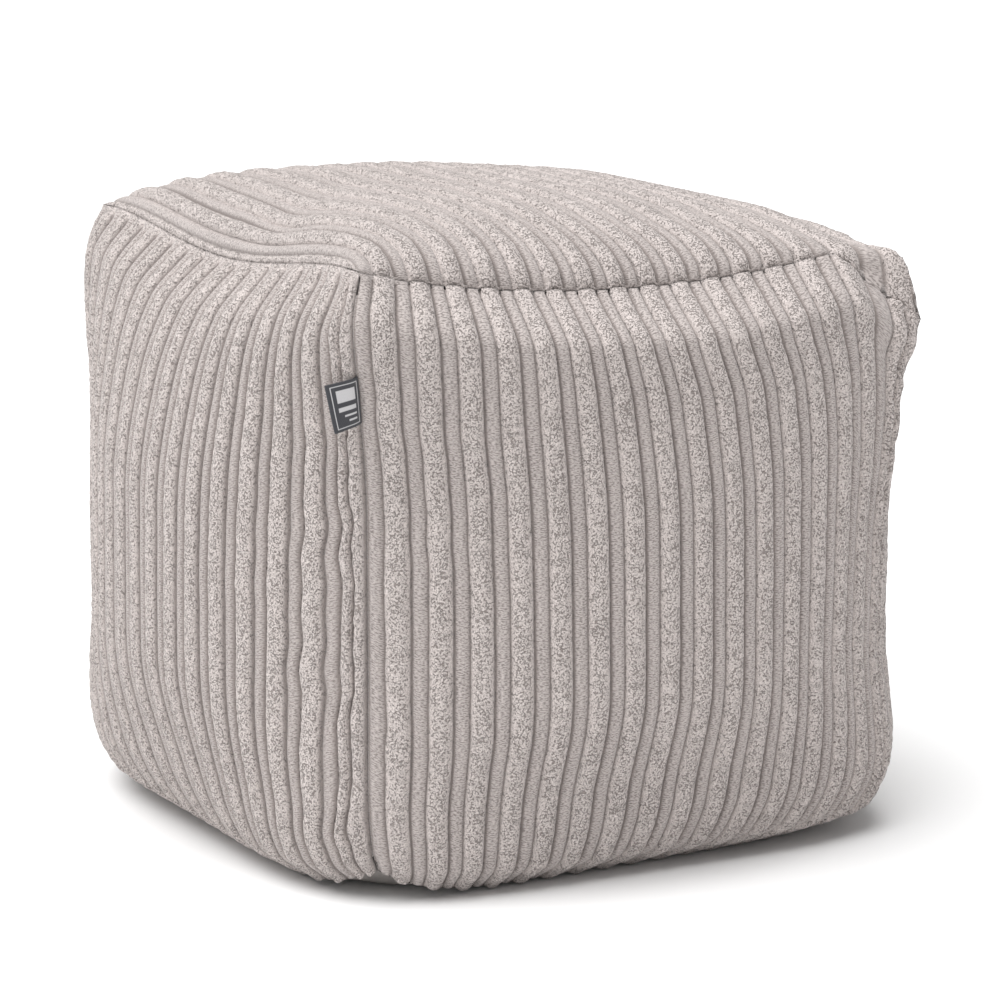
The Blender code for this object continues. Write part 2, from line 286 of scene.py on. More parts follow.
def ear_drop(to_corner):
    """How far it is tucked down at this distance from its tip."""
    return EAR_DROP * np.maximum(0.0, 1 - to_corner / EAR_REACH)


def to_ear(wall, s, share):
    if wall not in (FRONT, RIGHT):
        return np.full(np.broadcast(s, share).shape, SPAN)
    across = 1 - s if wall == FRONT else 1 + s
    return np.hypot(across * SPAN / 2, (1 - share) * HEIGHT)


def rim_height(wall, s):
    """The height of the top's edge over a side panel, but for the ear."""
    sag = {FRONT: FRONT_SAG, RIGHT: RIGHT_SAG, BACK: BACK_SAG, LEFT: LEFT_SAG}[wall]
    return HEIGHT - sag * (1 - s * s) ** (LEFT_SAG_ROUNDNESS if wall == LEFT else SAG_ROUNDNESS)


def foot_height(wall, s):
    near = s < 0 if wall == FRONT else (s > 0) & (wall == LEFT)
    return BASE_TOP + np.where(near, NEAR_FOOT_LIFT, FOOT_LIFT) * abs(s) ** FOOT_SQUARENESS


def wall_form(wall, s, share):
    """Points of a side panel's cloth: s is -1 at its left end and 1 at its right, share 0 below."""
    s, share = np.broadcast_arrays(np.clip(s, -1.0, 1.0), np.clip(share, 0.0, 1.0))
    left = near_corner(share) if wall == FRONT else corner(share)
    right = near_corner(share) if wall == LEFT else corner(share)
    half = ((1 - s) * left + (1 + s) * right) / 2
    bulge = front_bulge(share) if wall in (FRONT, BACK) else side_bulge(share)
    along = ((1 + s) * right - (1 - s) * left) / 2
    out = half + bulge * (1 - abs(s) ** squareness(share)) ** BULGE_ROUNDNESS
    foot = foot_height(wall, s)
    rim = rim_height(wall, s) - ear_drop(to_ear(wall, s, np.ones_like(s)))
    height = foot + (rim - foot) * share
    turn = wall * pi / 2
    x = along * cos(turn) + out * sin(turn)
    y = along * sin(turn) - out * cos(turn)
    return np.stack([x, y, height], -1)


def wall_cloth(wall, s, share):
    return wall_form(wall, s, share) + ear_out(to_ear(wall, s, share))


def valley(u, w):
    """The depth of the soft valley that runs into the top from the low point of its left seam."""
    run = np.subtract(VALLEY_END, VALLEY_START)
    length = np.hypot(*run)
    along = ((u - VALLEY_START[0]) * run[0] + (w - VALLEY_START[1]) * run[1]) / length
    across = ((u - VALLEY_START[0]) * run[1] - (w - VALLEY_START[1]) * run[0]) / length
    fade_in = np.clip((1 + u) / VALLEY_FADE, 0, 1)
    fade_out = np.clip(1 - along / length, 0, 1)
    return VALLEY_DEPTH * fade_in * fade_out * np.exp(-((across / VALLEY_WIDTH) ** 2))


def top_cloth(u, w):
    """Points of the top panel's cloth: u runs from left to right and w from front to back."""
    u, w = np.broadcast_arrays(np.clip(u, -1.0, 1.0), np.clip(w, -1.0, 1.0))
    shares = (1 - w) / 2, (1 + w) / 2, (1 - u) / 2, (1 + u) / 2
    front, back, left, right = (share[..., None] for share in shares)
    edge = np.ones_like(u)
    point = front * wall_form(FRONT, u, edge) + back * wall_form(BACK, -u, edge)
    point += left * wall_form(LEFT, -w, edge) + right * wall_form(RIGHT, w, edge)
    point -= front * (left * wall_form(FRONT, -edge, edge) + right * wall_form(FRONT, edge, edge))
    point -= back * (left * wall_form(LEFT, -edge, edge) + right * wall_form(BACK, -edge, edge))
    rim = (1 - w) / 2 * rim_height(FRONT, u) + (1 + w) / 2 * rim_height(BACK, u)
    rim += (1 - u) / 2 * rim_height(LEFT, w) + (1 + u) / 2 * rim_height(RIGHT, w) - HEIGHT
    to_corner = np.hypot(1 - u, 1 + w) * SPAN / 2
    to_seam = np.minimum(1 - abs(u), 1 - abs(w)) * SPAN / 2
    drop = ear_drop(to_corner) * (1 - rounded_off(to_seam / EAR_LIP))
    swell = 0
    for each in SWELLS:
        away = (u - each.u) ** 2 + (w - each.w) ** 2
        swell = swell + each.rise * np.exp(-(away / each.spread**2))
    swell = swell * rounded_off(to_seam / SWELL_EDGE)
    point[..., 2] = rim + crown_rise(u, w) + swell - valley(u, w) - drop
    return point + ear_out(to_corner)


def crown_rise(u, w):
    return CROWN * (1 - CROWN_LEAN * u) * ((1 - u * u) * (1 - w * w)) ** CROWN_ROUNDNESS


def evenly_along(place, height):
    """Gives the place on a row of points at each share of the way over the surface."""
    way = np.concatenate([[0], np.cumsum(np.hypot(np.diff(place) * SPAN / 2, np.diff(height)))])
    return lambda share: np.interp(share, way / way[-1], place)


def top_sheet(s, t):
    """The top panel's cloth by shares of the way over it, so that slopes don't widen its ribs."""
    fine = np.sin(np.linspace(-pi / 2, pi / 2, 1025))
    w = evenly_along(fine, crown_rise(0.0, fine))((1 + t) / 2)
    u = np.empty_like(s)
    for row in range(len(s)):
        u[row] = evenly_along(fine, crown_rise(fine, w[row, 0]))((1 + s[row]) / 2)
    return top_cloth(u, w)


# --- Cord panels ---

Panel = namedtuple("Panel", "name cloth counts up width length")


def panels():
    """Each panel: its cloth as a function of two shares, its grid lines, and its flat size."""
    rows = np.linspace(0, 1, WALL_STEPS + 1)
    made = []
    for wall in (FRONT, RIGHT, BACK, LEFT):

        def cloth(s, t, wall=wall):
            return wall_cloth(wall, s, t)

        made.append(Panel(WALL_NAMES[wall], cloth, rib_counts(False), rows, SPAN, HEIGHT))
    lip = 1 - 2 * EAR_LIP / SPAN
    lip_rows = np.linspace(-1, -lip, LIP_STEPS, endpoint=False)
    top_rows = np.concatenate([lip_rows, np.linspace(-lip, 1, TOP_STEPS)])
    return made + [Panel("top", top_sheet, rib_counts(True), top_rows, SPAN, SPAN)]


def rib_counts(on_top):
    """The grid lines across a panel, counted in repeats: closer in the grooves than on the ribs.

    The strand along the top's left seam counts from -1 to 0. A side panel's last fat rib has a
    crease.
    """
    border = (THIN_TO + FAT_FROM) / 2
    crease = (DOUBLED_FROM + DOUBLED_TO) / 2
    places = list(np.arange(STRAND_STEPS) / STRAND_STEPS - 1) if on_top else []
    for repeat in range(REPEATS):
        parts = [(0, border, THIN_STEPS), (border, 1, FAT_STEPS)]
        if not on_top and repeat == REPEATS - 1:
            parts[1:] = [(border, crease, FAT_STEPS // 2 + 1), (crease, 1, FAT_STEPS // 2 + 1)]
        for start, end, steps in parts:
            share = np.arange(steps) / steps
            share = share - GATHERED * np.sin(2 * pi * share)
            places += list(repeat + start + share * (end - start))
    return np.array(places + [REPEATS])


def rib_places(panel, counted, t):
    """Where across a panel, from -1 to 1, its ribs' places lie."""
    if panel.name != "top":
        return 2 * counted / REPEATS - 1
    width = STRAND * smooth_step((1 + t) / STRAND_TAPER)
    return 2 * (np.where(counted < 0, counted * width, counted) + width) / (REPEATS + width) - 1


def strand(share, start, end, flatness):
    """A rib from start to end: its height from 0 to 1, and how far across it, from -1 to 1."""
    across = 2 * (share - start) / (end - start) - 1
    return np.sqrt(np.clip(1 - abs(across) ** flatness, 0, 1)), across


def ribs(counted, t, on_top):
    """The cord's section at a count of repeats.

    Gives the level between the ribs, a rib's rise over it, 1 on a fat rib and 0 on a thin one, and
    the place across the rib.
    """
    share = counted % 1
    to_groove = abs((share - GROOVE_AT + 0.5) % 1 - 0.5)
    thin_from = np.where((counted < 1) & (not on_top), SEAM_THIN_FROM, THIN_FROM)
    thin, thin_across = strand(share, thin_from, THIN_TO, THIN_FLATNESS)
    fat, fat_across = strand(share, FAT_FROM, FAT_TO, FAT_FLATNESS)
    is_fat = share > (THIN_TO + FAT_FROM) / 2
    top = np.full(share.shape, FAT_RIB)
    if on_top:
        narrow = counted < 0
        is_fat = is_fat | narrow
        fat = np.where(narrow, 0.0, fat)
        fat_across = np.where(narrow, STRAND_ACROSS, fat_across)
    else:
        up = t * HEIGHT
        last = counted >= REPEATS - 1
        start = smooth_step((share - FAT_FROM) / DOUBLED_BEND_START)
        bent = share + DOUBLED_BEND * noise(up / DOUBLED_BEND_SIZE, 5.1) * start
        near, near_across = strand(bent, FAT_FROM, DOUBLED_FROM, FAT_FLATNESS)
        far, far_across = strand(bent, DOUBLED_TO, FAT_TO, FAT_FLATNESS)
        first = bent < (DOUBLED_FROM + DOUBLED_TO) / 2
        fat = np.where(last, np.where(first, near, far), fat)
        fat_across = np.where(last, np.where(first, near_across, far_across), fat_across)
        wrinkle = 1 + DOUBLED_WRINKLE * noise(up / DOUBLED_WRINKLE_SIZE, np.where(first, 2.3, 9.7))
        top = np.where(last, DOUBLED_RISE * wrinkle, top)
    crease = TOP_CREASE if on_top else CREASE
    base = crease + (GROOVE - crease) * (1 - smooth_step(to_groove / GROOVE_SPREAD))
    base = np.where(counted < 0, GROOVE * (1 - smooth_step(-counted / STRAND_GROOVE)), base)
    if on_top:
        taut = smooth_step((abs(counted) - SLACK_GROOVE_FROM) / SLACK_GROOVE_REACH)
        base *= SLACK_GROOVE + (1 - SLACK_GROOVE) * taut
    rise = np.where(is_fat, fat * (top - base), thin * (THIN_RIB - base))
    return base, rise, is_fat.astype(float), np.where(is_fat, fat_across, thin_across)


def strand_rise(panel, s, t):
    """How far the cloth stands up at the left seam of the top, on both sides of the seam."""
    if panel.name not in ("left", "top"):
        return np.zeros_like(s)
    along = t if panel.name == "top" else s
    return STRAND_RISE * smooth_step((1 - abs(along)) * SPAN / 2 / STRAND_START)


def seam_fill(panel, counted, t, to_end):
    """How high the cloth stands in the top's front seam, the same from both sides of it."""
    at_front = t < 0 if panel.name == "top" else (t > 0.5) & (panel.name == "front")
    fat = strand(counted % 1, FAT_FROM, FAT_TO, FAT_FLATNESS)[0]
    return np.where(at_front & (to_end < RIB_END), SEAM_FILL * fat, -1.0)


def seam_distances(panel, s, t):
    """The flat distances from a panel's side seams and from the seams across its ribs' ends."""
    to_side = (1 - abs(s)) * panel.width / 2
    if panel.name == "top":
        return to_side, (1 - abs(t)) * panel.length / 2
    return to_side, np.minimum(t, 1 - t) * panel.length


def way_in(points, axis):
    """How far each point of a grid is over the surface from the nearer edge, along one axis."""
    step = np.linalg.norm(np.diff(points, axis=axis), axis=-1)
    ahead = np.cumsum(step, axis=axis)
    edge = np.zeros_like(np.take(ahead, [0], axis=axis))
    way = np.concatenate([edge, ahead], axis=axis)
    return np.minimum(way, np.take(way, [-1], axis=axis) - way)


def normals_of(points):
    """The outward direction at each point of a grid."""
    along_rows = np.gradient(points, axis=1)
    along_columns = np.gradient(points, axis=0)
    normal = np.cross(along_rows, along_columns)
    return normal / np.maximum(np.linalg.norm(normal, axis=-1, keepdims=True), 1e-12)


def outward_of(points):
    """The direction from the bag's middle, level below it. Panels agree on it at their seams."""
    outward = points - MIDDLE
    outward[..., 2] = np.maximum(outward[..., 2], 0.0)
    return outward / np.linalg.norm(outward, axis=-1, keepdims=True)


def soft_end(panel, t):
    """Whether a point is in the upper half of one of the two side walls, whose ribs end softly."""
    return (t > 0.5) & (panel.name in ("left", "right"))


def seam_pinch(panel, t, to_side, to_end):
    """How deep the seams draw the cloth in. Upright seams are groove-deep but for their ends."""
    at_end = SEAM_PINCH * (1 - rounded_off(to_end / GROOVE_END))
    if panel.name == "top":
        return at_end
    deepest = SEAM_PINCH - (GROOVE + SEAM_PINCH) * smooth_step(to_end / SEAM_DEEPENS)
    beside = deepest * (1 - rounded_off(to_side / GROOVE_END))
    return np.maximum(beside, at_end * ~soft_end(panel, t))


def sway(panel, s, t):
    """How far the ribs wander sideways, in half widths of the panel."""
    x, y = s * panel.width / 2, t * panel.length / (2 if panel.name == "top" else 1)
    to_side, to_end = seam_distances(panel, s, t)
    seed = 7.3 * len(panel.name)
    wander = noise(x / WIDE_SWAY[0], y / WIDE_SWAY[1], seed)
    wander += FINE_SWAY_SHARE * noise(x / FINE_SWAY[0], y / FINE_SWAY[1], seed + 3)
    beside = np.exp(-((to_side / SWAY_REACH) ** 2)) * SLACK_SWAY[panel.name]
    window = smooth_step(to_side / SWAY_EDGE) * smooth_step(to_end / SWAY_EDGE)
    return wander * (SWAY + SEAM_SWAY * beside) * window / (panel.width / 2)


def drift(panel, s, t):
    """How far the slumped corner draws the front's and the top's ribs aside, in half widths."""
    if panel.name not in ("front", "top"):
        return 0.0
    beside_seam = smooth_step((s - DRIFT_FROM) / (DRIFT_FULL - DRIFT_FROM))
    if panel.name == "front":
        drawn = DRIFT(t) * beside_seam
    else:
        over = smooth_step((1 + t) / TOP_DRIFT_REACH)
        middle = smooth_step((s - TOP_DRIFT_FROM) / (TOP_DRIFT_FULL - TOP_DRIFT_FROM))
        drawn = (1 - over) * DRIFT(1.0) * beside_seam + over * TOP_DRIFT * middle
        drawn = drawn * (1 - smooth_step((t - TOP_DRIFT_FADES) / (1 - TOP_DRIFT_FADES)))
    return -drawn * (1 - smooth_step((s - DRIFT_ENDS) / (1 - DRIFT_ENDS))) / (panel.width / 2)


def unevenness(panel, cloth, s, t, to_side, to_end):
    """Rises and hollows of the cloth: soft lumps all over, and puckers beside the upright seams."""
    x, y, z = cloth.transpose(2, 0, 1)
    inside = smooth_step(np.minimum(to_side, to_end) / LUMP_EDGE)
    rise = LUMP * noise(x / LUMP_SIZE, y / LUMP_SIZE, z / LUMP_SIZE + 11) * inside
    if panel.name == "top":
        for u, w in EAR_PITS:
            away = np.hypot(s - u, t - w) * SPAN / 2
            rise -= PIT_DEPTH * np.exp(-((away / PIT_SIZE) ** 2)) * smooth_step(to_end / PIT_EDGE)
        return rise
    beside = smooth_step(to_side / PUCKER_START) * np.exp(-((to_side / PUCKER_REACH) ** 2))
    beside = beside * smooth_step(to_end / PUCKER_END)
    size_across, size_along = PUCKER_SIZE
    puckers = noise(to_side / size_across, t * HEIGHT / size_along, 3.7 * len(panel.name))
    return rise + PUCKER * puckers * beside


def cord_surface(panel):
    """The panel's outer surface as a grid of points, with its rib attributes."""
    counted, t = np.meshgrid(panel.counts, panel.up)
    s = rib_places(panel, counted, t)
    cloth = panel.cloth(s + sway(panel, s, t) + drift(panel, s, t), t)
    to_side, to_end = way_in(cloth, 1), way_in(cloth, 0)
    to_seam = np.minimum(to_side, to_end)
    base, rib, fat, across = ribs(counted, t, panel.name == "top")
    pebbles = noise(*(cloth / PEBBLE_SIZE).transpose(2, 0, 1)) * PEBBLE_RISE * fat
    soft = soft_end(panel, t)
    end = rounded_off((to_end - RIB_LOBE * across**2) / RIB_END)
    groove = base * rounded_off(to_end / GROOVE_END) * rounded_off(to_side / GROOVE_END)
    relief = groove + (rib + pebbles * smooth_step(rib / PEBBLE_START)) * end
    relief = np.maximum(relief, seam_fill(panel, counted, t, to_end))
    seam_rise = strand_rise(panel, s, t)
    if panel.name == "top":
        relief = relief + seam_rise * np.sqrt(np.clip(1 - (1 + np.minimum(counted, 0)) ** 3, 0, 1))
        outer = smooth_step((counted + 1) / STRAND_TUFTS)
        relief = relief + pebbles * outer * smooth_step(-counted / STRAND_TUFTS)
    else:
        softened = seam_rise + (relief - seam_rise) * smooth_step(to_end / SOFT_END)
        relief = np.where(soft, softened, relief)
    rise = relief + unevenness(panel, cloth, s, t, to_side, to_end)
    in_groove = abs((counted - GROOVE_AT + 0.5) % 1 - 0.5) < BESIDE_GROOVE
    reach = np.where(in_groove, GROOVE_REACH, CREASE_REACH) + PANEL_SHADE_REACH[panel.name]
    # painted shade: darker the lower a point lies on a rib's side by a groove or crease
    shade = np.clip(1 - (relief - GROOVE) / (FAT_RIB - GROOVE) / reach, 0, 1)
    shade *= np.where(soft, smooth_step(to_end / SOFT_END), 1)
    # less painted shade in the top's creases towards its left seam, where the light falls on them
    if panel.name == "top":
        lit = LIT_CREASE + (1 - LIT_CREASE) * smooth_step(s - LIT_CREASE_ENDS)
        shade *= np.where(in_groove, 1, lit)
    outward = outward_of(cloth)
    lean = 1 - smooth_step(to_seam / SEAM_LEAN)
    if panel.name != "top":
        lean = lean * smooth_step((t - LEAN_FROM) / LEAN_REACH)
    facing = normals_of(cloth) * (1 - lean[..., None]) + outward * lean[..., None]
    facing /= np.linalg.norm(facing, axis=-1, keepdims=True)
    pinch = seam_pinch(panel, t, to_side, to_end)
    points = cloth - outward * pinch[..., None] + facing * rise[..., None]
    flat = ((s + 1) / 2 * panel.width, t * panel.length / (2 if panel.name == "top" else 1))
    return points, {"fat": fat, "shade": shade, "across": across}, flat


def thinned(count):
    """Every so many of the first numbers, with the last one among them."""
    return np.append(np.arange(0, count - LINING_STEP // 2 - 1, LINING_STEP), count - 1)


def closed_panel(panel):
    """A mesh object of the panel: its ribbed outside, a coarse lining, and strips between them."""
    points, attributes, flat = cord_surface(panel)
    rows, columns = thinned(points.shape[0]), thinned(points.shape[1])
    counted, t = np.meshgrid(panel.counts[columns], panel.up[rows])
    s = rib_places(panel, counted, t)
    middle = 0.0 if panel.name == "top" else 0.5
    lining = panel.cloth(s * LINING_SHARE, middle + (t - middle) * LINING_SHARE)
    lining = lining - normals_of(lining) * LINING_DEPTH
    vertices = np.concatenate([points.reshape(-1, 3), lining.reshape(-1, 3)])
    outer_size = points.shape[0] * points.shape[1]
    outer = np.arange(outer_size).reshape(points.shape[:2])
    inner = outer_size + np.arange(len(vertices) - outer_size).reshape(lining.shape[:2])
    faces = grid_faces(outer) + grid_faces(inner[::-1])
    faces += joining_faces(outer[0], inner[0], columns, False)
    faces += joining_faces(outer[-1], inner[-1], columns, True)
    faces += joining_faces(outer[:, 0], inner[:, 0], rows, True)
    faces += joining_faces(outer[:, -1], inner[:, -1], rows, False)
    piece = mesh_object("cord_panel_" + panel.name, vertices, faces)
    for name, values in attributes.items():
        padded = np.zeros(len(vertices), np.float32)
        padded[:outer_size] = values.ravel()
        piece.data.attributes.new(name, "FLOAT", "POINT").data.foreach_set("value", padded)
    places = np.zeros((len(vertices), 2))
    places[:outer_size] = np.stack(flat, -1).reshape(-1, 2)
    give_places(piece, "Cord", places)
    return piece


def give_places(piece, name, places):
    """Adds a UV map with each point's place in it."""
    layer = piece.data.uv_layers.new(name=name)
    corners = np.empty(len(piece.data.loops), np.int32)
    piece.data.loops.foreach_get("vertex_index", corners)
    layer.data.foreach_set("uv", places[corners].astype(np.float32).ravel())


def grid_faces(index):
    """The quads of a grid of point numbers."""
    quads = np.stack([index[:-1, :-1], index[:-1, 1:], index[1:, 1:], index[1:, :-1]], -1)
    return quads.reshape(-1, 4).tolist()


def joining_faces(fine, coarse, kept, turned):
    """A strip from one edge of the outer grid to the lining's, a face for each of its steps."""
    faces = []
    for i in range(len(coarse) - 1):
        run = fine[kept[i] : kept[i + 1] + 1].tolist()
        face = run[::-1] + [int(coarse[i]), int(coarse[i + 1])]
        faces.append(face[::-1] if turned else face)
    return faces


def mesh_object(name, vertices, faces):
    mesh = bpy.data.meshes.new(name)
    mesh.from_pydata(vertices.tolist(), [], faces)
    mesh.shade_smooth()
    piece = bpy.data.objects.new(name, mesh)
    bpy.context.scene.collection.objects.link(piece)
    return piece


# --- Base cloth ---

BASE_EDGE = 0.985  # the base cloth's edge, as a share of the cord's lower edge
BASE_FLAT = 0.86  # the part of it that lies on the floor, in the same share
BASE_RINGS = 48
BASE_STEPS = 72  # along each side
BASE_CLOTH = 0.0012
BASE_TUCK = 0.003  # how far its edge goes up inside the cord
BASE_TUCK_FROM = 0.96
BASE_CRINKLE = 0.0009
BASE_CRINKLE_FROM, BASE_CRINKLE_REACH = 0.5, 0.3  # where it begins, and how soon it is full
WIDE_CRINKLE, FINE_CRINKLE = 0.03, 0.012


def base_surface():
    """The lower surface of the base cloth as rings of points, from the middle out."""
    corners = []
    for wall in (FRONT, RIGHT, BACK, LEFT):
        s = np.linspace(-1, 1, BASE_STEPS, endpoint=False)
        edge = wall_form(wall, s, np.zeros_like(s))
        edge[:, 2] -= BASE_TOP
        corners.append(edge)
    edge = np.concatenate(corners)
    scale = np.linspace(0, BASE_EDGE, BASE_RINGS + 1)[1:, None]
    lift = smooth_step((scale - BASE_FLAT) / (BASE_EDGE - BASE_FLAT))
    tuck = BASE_TUCK * np.clip((scale - BASE_TUCK_FROM) / (BASE_EDGE - BASE_TUCK_FROM), 0, 1)
    x, y = edge[:, 0] * scale, edge[:, 1] * scale
    crinkle = 1 + noise(x / WIDE_CRINKLE, y / WIDE_CRINKLE, 5)
    crinkle += 0.5 * noise(x / FINE_CRINKLE, y / FINE_CRINKLE, 9)
    outside = smooth_step((scale - BASE_CRINKLE_FROM) / BASE_CRINKLE_REACH)
    raised = BASE_CRINKLE * outside * np.clip(crinkle, 0, None)
    return np.stack([x, y, edge[:, 2] * lift + tuck + raised], -1)


def base_cloth():
    """The base cloth, closed: rings on both sides, a fan inside each, and a strip at the edge."""
    lower = base_surface()
    rings, around = lower.shape[:2]
    upper = lower + (0, 0, BASE_CLOTH)
    middles = np.array([[0, 0, 0], [0, 0, BASE_CLOTH]])
    vertices = np.concatenate([lower.reshape(-1, 3), upper.reshape(-1, 3), middles])
    index = np.arange(rings * around).reshape(rings, around)
    index = np.concatenate([index, index[:, :1]], axis=1)
    top = index + rings * around
    faces = grid_faces(index) + grid_faces(top[::-1])
    faces += grid_faces(np.stack([index[-1], top[-1]]))
    low_middle, high_middle = 2 * rings * around, 2 * rings * around + 1
    for i in range(around):
        faces.append([int(index[0, i + 1]), int(index[0, i]), low_middle])
        faces.append([int(top[0, i]), int(top[0, i + 1]), high_middle])
    return mesh_object("base_cloth", vertices, faces)


# --- Label ---

LABEL_WIDTH = 0.025
LABEL_HEIGHT = 0.034
LABEL_TOP = 0.838  # share of the seam's height
LABEL_DROOP = 0.15  # its fall, as a share of its width
LABEL_CLOTH = 0.0005
LABEL_FOLD = 0.0007  # radius of the fold, to the middle of the cloth
LABEL_PRESSED = 0.6  # the layers' spacing at the seam, as a share of that at the fold
LABEL_ROOT = 0.0024  # from the bottom of the seam to the label's inner end
LABEL_SEAM = 0.003  # how far the seam is drawn in there
SEAM_TURN = 225.0  # degrees from +X, the way the label leaves the seam
LABEL_TOP_TURN = 176.0  # the way it points past its bend, at its top
LABEL_FOOT_TURN = 196.0  # and at its foot
LABEL_BEND = 0.011  # the length of that bend
LABEL_ROWS = 34
LABEL_STEPS = 26
FOLD_STEPS = 8


def label_course(down):
    """The middle line of the label at a share of the way down it: points, each with its heading."""
    share = LABEL_TOP - down * LABEL_HEIGHT / HEIGHT
    final = LABEL_TOP_TURN + (LABEL_FOOT_TURN - LABEL_TOP_TURN) * down
    point = Vector(wall_form(FRONT, np.array(-1.0), np.array(share)))
    point = point + Vector((LABEL_SEAM, LABEL_SEAM, 0))
    step = LABEL_WIDTH / LABEL_STEPS
    course = []
    for i in range(LABEL_STEPS + 1):
        bend = max(0.0, 1 - i * step / LABEL_BEND)
        heading = radians(final + (SEAM_TURN - final) * bend)
        out = Vector((cos(heading), sin(heading), -LABEL_DROOP))
        point = point + out * (step if i else LABEL_ROOT)
        course.append((point, heading))
    return course


def side_label():
    """The folded tag in the near upright seam. Its UV map runs across from the seam, and down."""
    rows, places = [], []
    for row in range(LABEL_ROWS + 1):
        down = row / LABEL_ROWS
        course = label_course(down)
        near, far = [], []
        for i, (point, heading) in enumerate(course):
            side = Vector((-sin(heading), cos(heading), 0))
            gap = LABEL_FOLD * (LABEL_PRESSED + (1 - LABEL_PRESSED) * i / LABEL_STEPS)
            near.append(point - side * gap)
            far.append(point + side * gap)
        end, heading = course[-1]
        ways = [heading - pi / 2 + pi * step / FOLD_STEPS for step in range(1, FOLD_STEPS)]
        fold = [end + LABEL_FOLD * Vector((cos(way), sin(way), 0)) for way in ways]
        rows.append(near + fold + far[::-1])
        reach = [i / LABEL_STEPS for i in range(LABEL_STEPS + 1)]
        places += [(x, down) for x in reach + [1.0] * len(fold) + reach[::-1]]
    vertices = np.array([tuple(point) for row in rows for point in row])
    index = np.arange(len(vertices)).reshape(len(rows), -1)
    piece = mesh_object("side_tag", vertices, grid_faces(index[::-1]))
    give_places(piece, "Tag", np.array(places))
    cloth = piece.modifiers.new("cloth", "SOLIDIFY")
    cloth.thickness = LABEL_CLOTH
    cloth.offset = 0
    return piece


# --- Materials ---


class Nodes:
    """A material that is built up node by node."""

    def __init__(self, name, roughness):
        self.material = bpy.data.materials.new(name)
        self.material.use_nodes = True
        self.tree = self.material.node_tree
        self.shader = self.tree.nodes["Principled BSDF"]
        self.shader.inputs["Roughness"].default_value = roughness

    def add(self, kind, output=0, settings=None, **inputs):
        """Adds a node and gives one of its outputs. An input is a value or a node's output."""
        made = self.tree.nodes.new("ShaderNode" + kind)
        for name, value in (settings or {}).items():
            setattr(made, name, value)
        for name, value in inputs.items():
            key = int(name[1:]) if name[1:].isdigit() else name.replace("_", " ")
            self.feed(made.inputs[key], value)
        return made.outputs[output]

    def feed(self, socket, value):
        if isinstance(value, bpy.types.NodeSocket):
            self.tree.links.new(value, socket)
        else:
            socket.default_value = value

    def math(self, operation, a, b=0.0, c=0.0):
        return self.add("Math", settings={"operation": operation}, i0=a, i1=b, i2=c)

    def vector(self, operation, a, b, c=(0, 0, 0)):
        return self.add("VectorMath", settings={"operation": operation}, i0=a, i1=b, i2=c)

    def mix(self, share, a, b):
        """A colour between a and b."""
        made = self.tree.nodes.new("ShaderNodeMix")
        made.data_type = "RGBA"
        for socket, value in ((made.inputs[0], share), (made.inputs[6], a), (made.inputs[7], b)):
            self.feed(socket, value)
        return made.outputs[2]

    def ramp(self, value, low, high):
        """0 at low, 1 at high, and smooth between them."""
        settings = {"interpolation_type": "SMOOTHSTEP"}
        return self.add("MapRange", settings=settings, Value=value, From_Min=low, From_Max=high)

    def noise(self, place, scale, detail=2.0):
        return self.add("TexNoise", Vector=place, Scale=scale, Detail=detail)

    def place(self):
        """The place in the object's frame, in metres."""
        return self.add("TexCoord", output="Object")


# The cord's colours and the sizes of its pattern in metres
# painted shade in the pits between the tufts
PIT_SHADE = (0.205, 0.174, 0.160, 1)
PILE = (0.390, 0.345, 0.327, 1)
LIGHT_PILE = (0.648, 0.583, 0.559, 1)
KNIT = (0.500, 0.449, 0.430, 1)
DARK_KNIT = (0.221, 0.193, 0.183, 1)
# painted shade low in the grooves and creases
GROOVE_SHADE = (0.265, 0.230, 0.216, 1)
TUFT_SIZE = 0.0013
TUFT_BEND = 0.0012  # how far the tufts' edges are bent
TUFT_BEND_SIZE = 0.0014
PIT_PATCH_SIZE = 0.0060  # of the patches with more pits, whose colour is painted shade
PIT_PATCHES, PIT_MIDDLE = 0.36, 0.14  # how much they add to the pits, and how much a rib's middle does
GRAIN_SIZE = 0.0010
NAP_SIZE = 0.045  # of the patches where the pile lies another way
NAP = 0.10
KNIT_ROW = (0.0020, 0.0008)  # the reach of the thin ribs' marks, across and along a rib
CORD_BUMP = 0.0013


